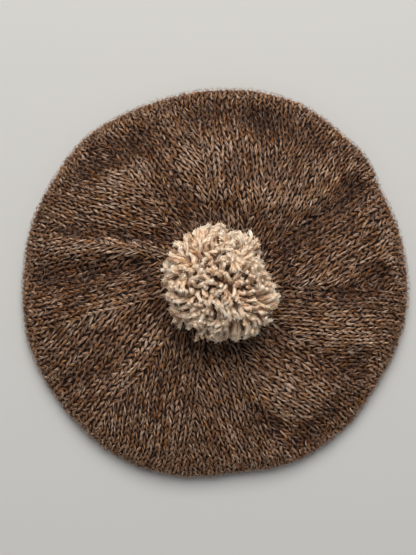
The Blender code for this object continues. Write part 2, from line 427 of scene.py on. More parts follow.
class Effect:
    """A shared effect, which is a node group that is built once.

    Each socket is named with its usual number, or with None if it is a vector.
    """

    NAME: str
    GIVEN: tuple[tuple[str, float | None], ...]
    RESULTS: tuple[tuple[str, float | None], ...]

    @classmethod
    def get(cls) -> bpy.types.NodeTree:
        """The node group, built the first time.

        Returns:
            The group.
        """
        if cls.NAME in bpy.data.node_groups:
            return bpy.data.node_groups[cls.NAME]
        tree = bpy.data.node_groups.new(cls.NAME, "ShaderNodeTree")
        for way, sockets in (("INPUT", cls.GIVEN), ("OUTPUT", cls.RESULTS)):
            for name, value in sockets:
                kind = "NodeSocketVector" if value is None else "NodeSocketFloat"
                socket = tree.interface.new_socket(name=name, in_out=way, socket_type=kind)
                if value is not None:
                    socket.default_value = value
        graph = Graph(tree)
        given = graph.add("NodeGroupInput").outputs
        target = graph.add("NodeGroupOutput").inputs
        for name, value in cls.results(graph, given).items():
            graph.feed(value, target[name])
        return tree

    @classmethod
    def results(cls, graph: Graph, given: bpy.types.NodeOutputs) -> dict[str, Socket]:
        """Adds the nodes of the effect.

        Args:
            graph: The group's tree.
            given: What the group is given.

        Returns:
            The socket of each result.
        """
        raise NotImplementedError


class FibreGroup(Effect):
    """Fibres that run along a strand, with a twist, tone patches, flecks and height.

    Warmth is 0 at the wool's own colour. The lots turn a strand's tint into another noise.
    """

    NAME = "spun_fibre"
    OWN = (
        ("Fibre Rows", 3.0),
        ("Fibre Length", 1.5),
        ("Ply Turns", 1.0),
        ("Patch Scale", 45.0),
        ("Fibre Share", 1.5),
        ("Tint Share", 0.6),
        ("Patch Share", 0.5),
        ("Painted Root Shade", 0.0),
    )
    GIVEN = (("Yarn UV", None), ("Place", None), ("Tint", 0.5), *OWN)
    RESULTS = (("Tone", 0.0), ("Fleck", 0.0), ("Height", 0.0), ("Warmth", 0.0))
    FIBRE_LOTS = 83.0
    FLECK_LOTS = 41.0
    WARMTH_LOTS = 57.0
    FIBRE_LOOK = Noise(4.0, 0.65)
    PATCH_LOOK = Noise(3.0)
    FLECK_LOOK = Noise(1.0)
    WARMTH_LOOK = Noise(4.0, 0.7)
    FIBRE_SCALE = 1.0
    FLECK_SCALE = 1.7
    WARMTH_SCALE = 120.0
    WARMTH_BY_PLACE = 1.3
    WARMTH_BY_STRAND = 0.5
    PLY_HEIGHT = 0.5

    @classmethod
    def results(cls, graph: Graph, given: bpy.types.NodeOutputs) -> dict[str, Socket]:
        """Adds the nodes of the effect.

        Args:
            graph: The group's tree.
            given: What the group is given.

        Returns:
            The sockets of Tone, Fleck, Height and Warmth.
        """
        place, tint = given["Place"], given["Tint"]
        across, along, _ = graph.split(given["Yarn UV"])
        turns = graph.plus(graph.times(along, given["Ply Turns"]), across)
        twist = graph.times(turns, WHOLE_TURN)
        cosine = graph.math("COSINE", twist)
        where = graph.vector(
            graph.times(cosine, given["Fibre Rows"]),
            graph.times(graph.math("SINE", twist), given["Fibre Rows"]),
            graph.times(along, given["Fibre Length"]),
        )
        lots = graph.times(tint, cls.FIBRE_LOTS)
        fibres = graph.noise(where, cls.FIBRE_SCALE, cls.FIBRE_LOOK, lots)
        lots = graph.times(tint, cls.FLECK_LOTS)
        flecks = graph.noise(where, cls.FLECK_SCALE, cls.FLECK_LOOK, lots)
        patches = graph.noise(place, given["Patch Scale"], cls.PATCH_LOOK)
        tone: object = 0.5
        for value, share in (
            (fibres, "Fibre Share"),
            (tint, "Tint Share"),
            (patches, "Patch Share"),
            # Tone along a strand: painted shade towards its root and painted light towards its tip
            (along, "Painted Root Shade"),
        ):
            tone = graph.plus(tone, graph.times(graph.centred(value), given[share]))
        by_place = graph.noise(place, cls.WARMTH_SCALE, cls.WARMTH_LOOK)
        by_strand = graph.math("FRACT", graph.times(tint, cls.WARMTH_LOTS))
        warmth = graph.plus(
            graph.times(graph.centred(by_place), cls.WARMTH_BY_PLACE),
            graph.times(graph.centred(by_strand), cls.WARMTH_BY_STRAND),
        )
        plies = graph.times(graph.math("ABSOLUTE", cosine), cls.PLY_HEIGHT)
        height = graph.plus(plies, fibres)
        return {"Tone": tone, "Fleck": flecks, "Height": height, "Warmth": warmth}


class RingGroup(Effect):
    """Stitches counted round an upright ring, and rows along its faces."""

    NAME = "ring_places"
    GIVEN = (("Place", None),)
    RESULTS = (("Yarn UV", None),)
    WALES = RIBS * RIB_WALES

    @classmethod
    def results(cls, graph: Graph, given: bpy.types.NodeOutputs) -> dict[str, Socket]:
        """Adds the nodes of the effect.

        Args:
            graph: The group's tree.
            given: What the group is given.

        Returns:
            The socket of Yarn UV.
        """
        x, y, z = graph.split(given["Place"])
        turn = graph.times(graph.math("ARCTAN2", y, x), cls.WALES / WHOLE_TURN)
        square = graph.plus(graph.times(x, x), graph.times(y, y))
        along = graph.plus(graph.math("SQRT", square), z)
        return {"Yarn UV": graph.vector(turn, graph.math("DIVIDE", along, ROW_HEIGHT))}


class PurlGroup(Effect):
    """The two wavy lines of bumps that each row shows on the purl side."""

    NAME = "purl_bumps"
    GIVEN = (("Yarn UV", None),)
    RESULTS = (("Height", 0.0),)
    LINES_PER_ROW = 2.0
    WAVE = 0.3

    @classmethod
    def results(cls, graph: Graph, given: bpy.types.NodeOutputs) -> dict[str, Socket]:
        """Adds the nodes of the effect.

        Args:
            graph: The group's tree.
            given: What the group is given.

        Returns:
            The socket of Height, from 0 to 1.
        """
        across, along, _ = graph.split(given["Yarn UV"])
        wave = graph.math("COSINE", graph.times(across, WHOLE_TURN))
        line = graph.plus(graph.times(along, cls.LINES_PER_ROW), graph.times(wave, cls.WAVE))
        height = graph.math("COSINE", graph.times(line, WHOLE_TURN))
        return {"Height": graph.plus(graph.times(height, 0.5), 0.5)}


@dataclass(frozen=True)
class Wool:
    """Finish of one spun wool, with the values that its fibres and colours take.

    Each share weighs what makes a fibre lighter or darker. The relief is in metres.
    """

    name: str
    tones: tuple[tuple[float, Colour], ...]
    fleck: Colour
    fleck_from: float
    fleck_edge: float = 0.06
    fibre_rows: float = 1.6
    fibre_length: float = 1.2
    ply_turns: float = 1.0
    patch_scale: float = 45.0
    fibre_share: float = 1.5
    tint_share: float = 0.6
    patch_share: float = 0.5
    painted_root_shade: float = 0.0
    relief: float = 0.0004
    relief_strength: float = 0.7
    gloss: float = 0.15
    sheen: float = 0.08
    sheen_roughness: float = 0.45
    roughness: float = 0.92
    follows: Follow = Follow.YARN
    place_scale: float = 220.0
    purl_painted_shade: float = 0.0
    purl_relief: float = 3.0
    warmth_base: float = 2.6
    warmth_spread: float = 0.0
    richness: float = 1.0

    def material(self) -> bpy.types.Material:
        """Builds the wool's material.

        Returns:
            The material.
        """
        material = bpy.data.materials.new(self.name)
        material.use_nodes = True
        graph = Graph(material.node_tree)
        shader = material.node_tree.nodes["Principled BSDF"].inputs
        place = graph.add("ShaderNodeTexCoord").outputs["Object"]
        yarn = self._yarn(graph, place)
        fibres = self._fibres(graph, place, yarn)
        tone, height = fibres["Tone"], fibres["Height"]
        if self.purl_painted_shade:
            tone, height = self._purled(graph, yarn, tone, height)
        bump = graph.add("ShaderNodeBump")
        graph.feed(self.relief_strength, bump.inputs["Strength"])
        graph.feed(self.relief, bump.inputs["Distance"])
        graph.feed(height, bump.inputs["Height"])
        for name, value in (
            ("Base Color", self._colour(graph, fibres, tone)),
            ("Normal", bump.outputs[0]),
            ("Roughness", self.roughness),
            ("Metallic", 0.0),
            ("Specular IOR Level", self.gloss),
            ("Sheen Weight", self.sheen),
            ("Sheen Roughness", self.sheen_roughness),
            ("Sheen Tint", (*self.fleck, 1)),
        ):
            graph.feed(value, shader[name])
        return material

    def _fibres(self, graph: Graph, place: Socket, yarn: Socket) -> bpy.types.NodeOutputs:
        """Places the fibre group with this wool's values.

        Args:
            graph: The material's tree.
            place: Socket of the Object coordinates.
            yarn: Socket of the places along the yarn.

        Returns:
            The group's results.
        """
        fibres = graph.add("ShaderNodeGroup", node_tree=FibreGroup.get())
        given = {"Place": place, "Yarn UV": yarn}
        if self.follows is Follow.YARN:
            given["Tint"] = graph.add("ShaderNodeAttribute", attribute_name="tint").outputs["Fac"]
        for name, _ in FibreGroup.OWN:
            given[name] = getattr(self, name.lower().replace(" ", "_"))
        for name, value in given.items():
            graph.feed(value, fibres.inputs[name])
        return fibres.outputs

    def _purled(
        self, graph: Graph, yarn: Socket, tone: Socket, height: Socket
    ) -> tuple[Socket, Socket]:
        """Adds the purl bumps to the height, and to the tone as painted shade between them and
        painted light on them.

        Args:
            graph: The material's tree.
            yarn: Socket of the places along the yarn.
            tone: Socket of the tone.
            height: Socket of the height.

        Returns:
            The new tone and height.
        """
        purl = graph.add("ShaderNodeGroup", node_tree=PurlGroup.get())
        graph.feed(yarn, purl.inputs[0])
        bumps = purl.outputs[0]
        # Painted shade: the tone falls between the bumps and rises on them
        lowered = graph.math("SUBTRACT", tone, self.purl_painted_shade / 2)
        tone = graph.plus(lowered, graph.times(bumps, self.purl_painted_shade))
        return tone, graph.plus(height, graph.times(bumps, self.purl_relief))

    def _yarn(self, graph: Graph, place: Socket) -> Socket:
        """Places across and along the yarn, from what the wool's fibres follow.

        Args:
            graph: The material's tree.
            place: Socket of the Object coordinates.

        Returns:
            The socket of those places.
        """
        if self.follows is Follow.YARN:
            return graph.add("ShaderNodeUVMap", uv_map="yarn").outputs[0]
        if self.follows is Follow.RING:
            node = graph.add("ShaderNodeGroup", node_tree=RingGroup.get())
        else:
            node = graph.add("ShaderNodeMapping")
            graph.feed((self.place_scale,) * 3, node.inputs["Scale"])
        graph.feed(place, node.inputs[0])
        return node.outputs[0]

    def _colour(self, graph: Graph, fibres: bpy.types.NodeOutputs, tone: Socket) -> Socket:
        """Colour of the fibres: tones with flecks, warmer in some places than in others.

        Args:
            graph: The material's tree.
            fibres: Results of the fibre group.
            tone: Socket of the tone.

        Returns:
            The colour's socket.
        """
        edges = ((self.fleck_from, (0, 0, 0)), (self.fleck_from + self.fleck_edge, (1, 1, 1)))
        mix = graph.add("ShaderNodeMix", data_type="RGBA")
        graph.feed(graph.ramp(fibres["Fleck"], edges), mix.inputs["Factor"])
        graph.feed(graph.ramp(tone, self.tones), mix.inputs["A"])
        graph.feed((*self.fleck, 1), mix.inputs["B"])
        spread = graph.times(fibres["Warmth"], self.warmth_spread)
        warm = graph.math("POWER", self.warmth_base, spread)
        richer = graph.add("ShaderNodeHueSaturation")
        graph.feed(graph.times(warm, self.richness), richer.inputs["Saturation"])
        graph.feed(mix.outputs["Result"], richer.inputs["Color"])
        return richer.outputs[0]


HEATHER = Wool(
    name="brown_heather_wool",
    tones=(
        (0.10, srgb(46, 30, 25)),
        (0.40, srgb(114, 85, 69)),
        (0.62, srgb(170, 136, 110)),
        (0.86, srgb(236, 206, 178)),
    ),
    fleck=srgb(206, 140, 90),
    fleck_from=0.585,
    fibre_rows=0.8,
    fibre_length=4.0,
    fibre_share=1.7,
    patch_share=0.2,
    warmth_spread=0.75,
    richness=1.03,
)

# Dark wool of the ground's outer face under the stitches: painted shade in the gaps between them
HEATHER_GAP_SHADE = Wool(
    name="brown_heather_gap_shade",
    tones=((0.20, srgb(32, 20, 15)), (0.55, srgb(62, 44, 35)), (0.85, srgb(92, 68, 54))),
    fleck=srgb(96, 66, 46),
    fleck_from=0.70,
    relief=0.0008,
)

HEATHER_PURL = Wool(
    name="brown_heather_purl",
    tones=((0.15, srgb(36, 23, 18)), (0.5, srgb(104, 77, 62)), (0.85, srgb(160, 126, 102))),
    fleck=srgb(196, 132, 84),
    fleck_from=0.66,
    relief=0.0006,
    purl_painted_shade=0.5,
    warmth_spread=1.0,
)

HEATHER_BAND = Wool(
    name="brown_heather_band",
    tones=((0.15, srgb(36, 22, 17)), (0.5, srgb(96, 71, 57)), (0.85, srgb(164, 130, 106))),
    fleck=srgb(190, 128, 82),
    fleck_from=0.66,
    relief=0.0006,
    follows=Follow.RING,
    purl_painted_shade=0.45,
    warmth_spread=1.0,
)

FAWN = Wool(
    name="fawn_pompom_wool",
    tones=(
        (0.10, srgb(150, 108, 78)),
        (0.36, srgb(214, 174, 138)),
        (0.60, srgb(244, 214, 182)),
        (0.86, srgb(255, 242, 222)),
    ),
    fleck=srgb(255, 246, 226),
    fleck_from=0.68,
    ply_turns=2.0,
    fibre_rows=1.2,
    fibre_length=3.0,
    tint_share=0.9,
    # Painted shade towards each strand's root and painted light towards its tip
    painted_root_shade=0.6,
    patch_scale=90.0,
    relief=0.0003,
    warmth_spread=0.4,
)

# Dark wool of the pompom's heart and tie: painted shade inside the ball
FAWN_SHADED_HEART = Wool(
    name="fawn_pompom_shaded_heart",
    tones=((0.2, srgb(92, 66, 48)), (0.8, srgb(150, 116, 90))),
    fleck=srgb(150, 118, 92),
    fleck_from=0.7,
    patch_scale=180.0,
    relief=0.001,
    follows=Follow.PLACE,
)


def dress(node: str, wool: Wool) -> None:
    """Gives a node of the frame a wool in place of its plain material.

    Args:
        node: Name of the node.
        wool: The wool.
    """
    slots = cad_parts[node].data.materials
    slots.clear()
    slots.append(wool.material())


# The crown


@dataclass(frozen=True)
class Crease:
    """Straight dent (depth above zero) or raised fold (below zero) of the crown's top.

    Azimuths are in degrees, and the other sizes in millimetres. It fades out sideways.
    """

    azimuth_out: float
    reach_out: float
    azimuth_in: float
    reach_in: float
    half_width: float
    depth_out: float
    depth_in: float
    fade_width: float = 1.7

    def depth(self, places: np.ndarray) -> np.ndarray:
        """How deep the crease is at each place.

        Args:
            places: Places seen from above, in metres.

        Returns:
            Depths in metres.
        """
        outer = self._end(self.azimuth_out, self.reach_out)
        inner = self._end(self.azimuth_in, self.reach_in)
        line = inner - outer
        share = np.clip((places - outer) @ line / (line @ line), 0, 1)
        away = np.linalg.norm(places - outer - share[..., None] * line, axis=-1)
        depth = self.depth_out + (self.depth_in - self.depth_out) * share
        return MM * depth * bell(away / (MM * self.fade_width * self.half_width))

    @staticmethod
    def _end(azimuth: float, reach: float) -> np.ndarray:
        """Place of one end, in metres."""
        turn = math.radians(azimuth)
        return MM * reach * np.array([math.cos(turn), math.sin(turn)])


# Folds read from the photograph, with their depths guessed from their shading
# Their depths also set the stitches' tints: painted shade in the dents, painted light on the raised
# folds
DENTS = (
    Crease(139, 121, 118, 114, 10, 6, 4),
    Crease(118, 112, 106, 56, 6, 3, 4),
    Crease(99, 120, 76, 117, 10, 4, 5),
    Crease(76, 118, 55, 122, 9, 6, 4),
    Crease(35, 116, 24, 48, 7, 6, 5),
    Crease(34, 117, 32, 108, 10, 5, 3),
    Crease(2, 114, 357, 92, 9, 8, 3),
    Crease(357, 92, 351, 66, 5, 3, 3),
    Crease(331, 115, 327, 98, 10, 7, 3),
    Crease(324, 129, 300, 126, 9, 3, 4),
    Crease(293, 109, 290, 98, 7, 6, 3),
    Crease(214, 123, 219, 78, 7, 4, 3),
    Crease(178, 120, 176, 86, 8, 6, 4),
    Crease(176, 86, 167, 54, 5, 4, 3),
    Crease(160, 108, 140, 48, 5, 4, 4),
    Crease(196, 118, 192, 98, 6, 2, 2),
)
RAISED_FOLDS = (
    Crease(168, 119, 151, 46, 6, -4, -4),
    Crease(196, 102, 191, 55, 9, -4, -3),
    Crease(225, 97, 225, 54, 5, -4, -4),
    Crease(14, 126, 9, 122, 7, -2, -2),
    Crease(1, 84, 0, 52, 5, -3, -3),
    Crease(340, 105, 336, 74, 13, -3, -3),
    Crease(300, 80, 315, 104, 14, -3, -3),
    Crease(84, 104, 99, 84, 12, -3, -3),
    Crease(145, 100, 118, 88, 12, -3, -4),
    Crease(95, 66, 63, 67, 7, -3, -2),
    Crease(63, 67, 42, 84, 8, -2, -3),
)
# Shallow hollows round the pompom, whose depth also darkens the stitches there as painted shade
# under the pompom
HOLLOWS_AND_SHADE_BY_POMPOM = (
    Crease(78, 48, 112, 48, 6, 2, 3),
    Crease(122, 48, 150, 48, 6, 2, 2),
    Crease(170, 47, 194, 47, 5, 2, 2),
    Crease(204, 48, 246, 48, 6, 2, 3),
    Crease(350, 48, 10, 48, 6, 2, 2),
)


@dataclass
class CrownCloth:
    """Outer face of the knitted crown, read from the frame's solids as a smooth table.

    Rows count from the eye in the middle of the top, round the rim, to the headband. The
    section lines are azimuths of the lines of decreases, read from the photograph.
    """

    nodes: tuple[str, str] = ("crown_top", "crown_underside")
    steps: int = 360
    top_rows: int = 33
    under_rows: int = 18
    samples_per_row: int = 2
    fade_rows: float = 3.0
    eye_radius: float = 0.0045
    lip_radius: float = 0.0765
    turn_radius: float = 0.116
    turn_height: float = 0.012
    ray_step: float = 0.0015
    turn_step: float = -4
    ray_above: float = 0.2
    ray_beside: float = 0.08
    ray_below: float = 0.05
    least_gap: float = 0.0002
    most_gap: float = 0.008
    smooth_around: int = 6
    smooth_along: int = 3
    section_stitches: int = 12
    full_radius: float = 0.1266
    section_lines: tuple[float, ...] = (35, 63, 96, 129, 160, 195, 231, 261, 292, 326, 358)
    table: np.ndarray = field(init=False)
    dents: np.ndarray = field(init=False)
    normals: np.ndarray = field(init=False)
    reaches: np.ndarray = field(init=False)

    def __post_init__(self) -> None:
        """Probes the solids and fills the table."""
        trees = [self._tree(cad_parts[name]) for name in self.nodes]
        azimuths = np.radians(np.arange(self.steps) * 360 / self.steps)
        table = np.array([self._resampled(self._profile(trees, turn)) for turn in azimuths])
        for _ in range(self.smooth_around):
            table = (np.roll(table, 1, axis=0) + 2 * table + np.roll(table, -1, axis=0)) / 4
        for _ in range(self.smooth_along):
            table[:, 1:-1] = (table[:, :-2] + 2 * table[:, 1:-1] + table[:, 2:]) / 4
        row = np.arange(table.shape[1]) / self.samples_per_row
        fade = np.clip((self.top_rows - row) / self.fade_rows, 0, 1)
        creases = (*DENTS, *RAISED_FOLDS, *HOLLOWS_AND_SHADE_BY_POMPOM)
        self.dents = sum(crease.depth(table[..., :2]) for crease in creases) * fade
        table[..., 2] = np.maximum(table[..., 2] - self.dents, 0.0)
        self.table = table
        self.normals = self._sides(table)
        self.reaches = np.linalg.norm(table[..., :2], axis=-1).mean(axis=0)

    @property
    def rows(self) -> int:
        """Rows of knitting from the eye to the headband."""
        return self.top_rows + self.under_rows

    @property
    def wales(self) -> int:
        """Wales of knitting round the rim."""
        return len(self.section_lines) * self.section_stitches

    def _sides(self, table: np.ndarray) -> np.ndarray:
        """Outward side of the cloth at each sample.

        Args:
            table: Places of the samples.

        Returns:
            Unit vectors.
        """
        along = np.gradient(table, axis=1)
        around = np.roll(table, -1, axis=0) - np.roll(table, 1, axis=0)
        sides = unit(np.cross(along, around))
        return np.where(sides[:, 2:3, 2:] < 0, -sides, sides)

    def _tree(self, obj: bpy.types.Object) -> BVHTree:
        """Search tree of a node's mesh."""
        corners = [corner.co.copy() for corner in obj.data.vertices]
        return BVHTree.FromPolygons(corners, [list(face.vertices) for face in obj.data.polygons])

    def _hit(self, trees: list[BVHTree], start: Vector, way: Vector) -> Vector | None:
        """First place that a ray meets the crown.

        Args:
            trees: Search trees of the crown's nodes.
            start: Start of the ray.
            way: Its direction.

        Returns:
            The place, or None.
        """
        hits = [tree.ray_cast(start, way) for tree in trees]
        hits = [hit for hit in hits if hit[0] is not None]
        return min(hits, key=lambda hit: hit[3])[0] if hits else None

    def _profile(self, trees: list[BVHTree], azimuth: float) -> list[Vector]:
        """Line over the crown at one azimuth, from the eye to the headband.

        Args:
            trees: Search trees of the crown's nodes.
            azimuth: The azimuth in radians.

        Returns:
            The line's points.
        """
        out = Vector((math.cos(azimuth), math.sin(azimuth), 0))
        rise = Vector((0, 0, 1))
        rays = []
        for reach in np.arange(self.eye_radius, self.turn_radius, self.ray_step):
            rays.append((out * float(reach) + rise * self.ray_above, -rise))
        turn = out * self.turn_radius + rise * self.turn_height
        for angle in np.radians(np.arange(90, -91, self.turn_step)):
            way = out * math.cos(angle) + rise * math.sin(angle)
            rays.append((turn + way * self.ray_beside, -way))
        for reach in np.arange(self.turn_radius - self.ray_step, self.lip_radius, -self.ray_step):
            rays.append((out * float(reach) - rise * self.ray_below, rise))
        hits = [self._hit(trees, start, way) for start, way in rays]
        kept = [hits[0]]
        for hit in hits[1:]:
            if hit is not None and self.least_gap < (hit - kept[-1]).length < self.most_gap:
                kept.append(hit)
        return kept

    def _resampled(self, line: list[Vector]) -> np.ndarray:
        """Even samples of a line, with the rim's crest at the last row of the top.

        Args:
            line: The line's points.

        Returns:
            Samples by 3.
        """
        points = np.array([point[:] for point in line])
        crest = int(np.argmax(np.linalg.norm(points[:, :2], axis=1)))
        lengths = np.concatenate([[0], np.cumsum(np.linalg.norm(np.diff(points, axis=0), axis=1))])
        top = np.linspace(0, lengths[crest], self.top_rows * self.samples_per_row + 1)
        under = np.linspace(lengths[crest], lengths[-1], self.under_rows * self.samples_per_row + 1)
        wanted = np.concatenate([top, under[1:]])
        return np.stack([np.interp(wanted, lengths, points[:, axis]) for axis in range(3)], axis=1)

    def look_up(self, grid: np.ndarray, azimuth: np.ndarray, row: np.ndarray) -> np.ndarray:
        """Value of a table between its samples.

        Args:
            grid: The table.
            azimuth: Azimuths in degrees.
            row: Rows from the eye.

        Returns:
            Values in the shape of the azimuths, each as long as the table's.
        """
        turn = (azimuth % 360) * self.steps / 360
        low = np.floor(turn).astype(int) % self.steps
        high = (low + 1) % self.steps
        turn_share = (turn - np.floor(turn))[..., None]
        place = np.clip(row * self.samples_per_row, 0, grid.shape[1] - 1 - SLIVER)
        near = np.floor(place).astype(int)
        row_share = (place - near)[..., None]
        first = grid[low, near] * (1 - turn_share) + grid[high, near] * turn_share
        second = grid[low, near + 1] * (1 - turn_share) + grid[high, near + 1] * turn_share
        return first * (1 - row_share) + second * row_share

    def place(self, azimuth: np.ndarray, row: np.ndarray, lift: np.ndarray) -> np.ndarray:
        """Points of the cloth, lifted along its outward side.

        Args:
            azimuth: Azimuths in degrees.
            row: Rows from the eye.
            lift: Heights above the outer face, in metres.

        Returns:
            The points.
        """
        points = self.look_up(self.table, azimuth, row)
        sides = unit(self.look_up(self.normals, azimuth, row))
        points = points + sides * lift[..., None]
        points[..., 2] = np.maximum(points[..., 2], FLOOR_GAP)
        return points

    def dent(self, azimuth: np.ndarray, row: np.ndarray) -> np.ndarray:
        """Depth of the folds at azimuths and rows, in metres, below zero on raised ones."""
        return self.look_up(self.dents[..., None], azimuth, row)[..., 0]

    def reach(self, row: np.ndarray) -> np.ndarray:
        """Mean distance of a row from the middle, in metres."""
        return np.interp(row * self.samples_per_row, np.arange(len(self.reaches)), self.reaches)

    def section(self, index: int) -> tuple[float, float]:
        """One section of the crown, between two lines of decreases.

        Args:
            index: The section's number.

        Returns:
            Azimuth of the line that its wales run along, and its width, in degrees.
        """
        low = self.section_lines[index]
        high = self.section_lines[(index + 1) % len(self.section_lines)]
        return high, (high - low) % 360

    def stitches_across(self, row: np.ndarray) -> np.ndarray:
        """How many stitches a section has at a row, which falls towards the eye."""
        share = np.minimum(self.reach(row) / self.full_radius, 1)
        return self.section_stitches * np.where(row > self.top_rows, 1, share)


@dataclass
class StitchShape:
    """One leg of a knit stitch, in widths of a wale, rows and metres of depth.

    The yarn of a leg is one soft body, or a few thick fibres that are twisted together.
    """

    segments: int = 3
    rings: int = 4
    fibres: int = 4
    foot: float = 0.08
    head: float = 0.43
    low: float = -0.60
    high: float = 0.76
    yarn_reach: float = 0.00100
    fibre_reach: float = 0.00044
    fibre_turns: float = 0.42
    fullness: float = 0.55
    blunt: float = 0.02
    bend: float = 0.9
    foot_depth: float = 0.0006
    head_depth: float = 0.0011
    dip: float = 2.2
    shape: Shape = field(init=False)
    local: np.ndarray = field(init=False)

    def __post_init__(self) -> None:
        """Shapes each fibre of the leg from a spindle."""
        self.shape = Shape.spindle(self.segments, self.rings)
        along, around = self.shape.along, self.shape.around
        inner = np.clip(along, self.blunt, 1 - self.blunt)
        swell = self.shape.body(np.sin(math.pi * inner) ** self.fullness)
        line_x = (self.foot + (self.head - self.foot) * along**self.bend) * WALE_WIDTH
        line_y = (self.low + (self.high - self.low) * along) * ROW_HEIGHT
        slope = np.array([self.head - self.foot, self.high - self.low])
        slope = slope * (WALE_WIDTH, ROW_HEIGHT)
        slope /= np.linalg.norm(slope)
        dip = self.foot_depth * (1 - along) ** self.dip + self.head_depth * along**self.dip
        reach = self.fibre_reach if self.fibres > 1 else self.yarn_reach
        ring = self.yarn_reach - reach
        local = []
        for fibre in range(self.fibres):
            turn = WHOLE_TURN * (fibre / self.fibres + self.fibre_turns * along)
            aside = np.cos(turn) * ring + np.cos(around) * reach * swell
            depth = np.sin(turn) * ring + np.sin(around) * reach * swell
            x = line_x + aside * slope[1]
            y = line_y - aside * slope[0]
            depth = depth - dip - self.yarn_reach
            local.append(np.stack([x / WALE_WIDTH, y / ROW_HEIGHT, depth], axis=1))
        self.local = np.array(local)


@dataclass(frozen=True)
class Wave:
    """A wave round the crown that shifts with every row."""

    size: float
    count: float
    shift: float
    start: float = 0

    def at(self, azimuth: np.ndarray, row: np.ndarray) -> np.ndarray:
        """The wave's height at azimuths, in degrees, and rows."""
        turn = np.radians(azimuth)
        return self.size * np.sin(self.count * turn + self.shift * row + self.start)


